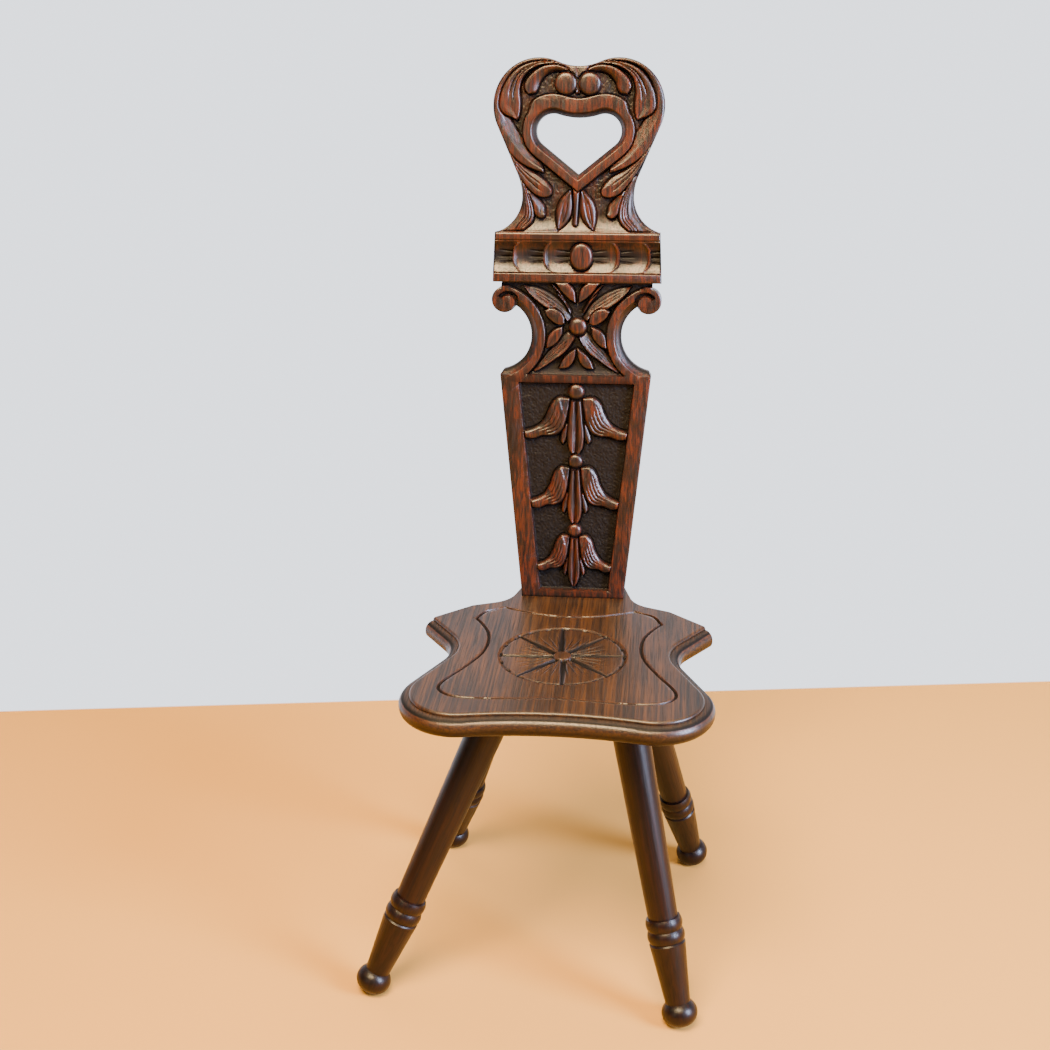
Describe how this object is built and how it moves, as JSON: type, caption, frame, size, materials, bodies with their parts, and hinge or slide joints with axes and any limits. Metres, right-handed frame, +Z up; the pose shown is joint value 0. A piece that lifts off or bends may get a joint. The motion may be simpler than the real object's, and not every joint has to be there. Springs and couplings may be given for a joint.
{
  "type": "carved oak spinning chair",
  "caption": "Small antique oak chair with a shaped moulded seat, a raked carved back with a heart-shaped hand-hold, and splayed turned legs on bun feet.",
  "frame": {"origin": "on the floor, under the middle of the whole chair's box", "axes": "+Z up along the back, -Y towards the front of the seat, +X to the right as seen from the front"},
  "size_m": [0.3828, 0.4162, 0.9511],
  "materials": {
    "back_oak": "dark stained, carved and waxed",
    "seat_oak": "dark stained and waxed",
    "leg_oak": "dark stained, turned and waxed",
    "joint_oak": "plain oak"
  },
  "bodies": {
    "root": {"seat_board_wide": "seat_oak", "seat_board_narrow": "seat_oak", "back_board": "back_oak", "back_key": "joint_oak", "leg_front_left": "leg_oak", "leg_front_right": "leg_oak", "leg_rear_left": "leg_oak", "leg_rear_right": "leg_oak", "leg_wedge_front_left": "joint_oak", "leg_wedge_front_right": "joint_oak", "leg_wedge_rear_left": "joint_oak", "leg_wedge_rear_right": "joint_oak", "seat_dowel_front": "joint_oak", "seat_dowel_middle": "joint_oak", "seat_dowel_rear": "joint_oak"}
  },
  "joints": []
}
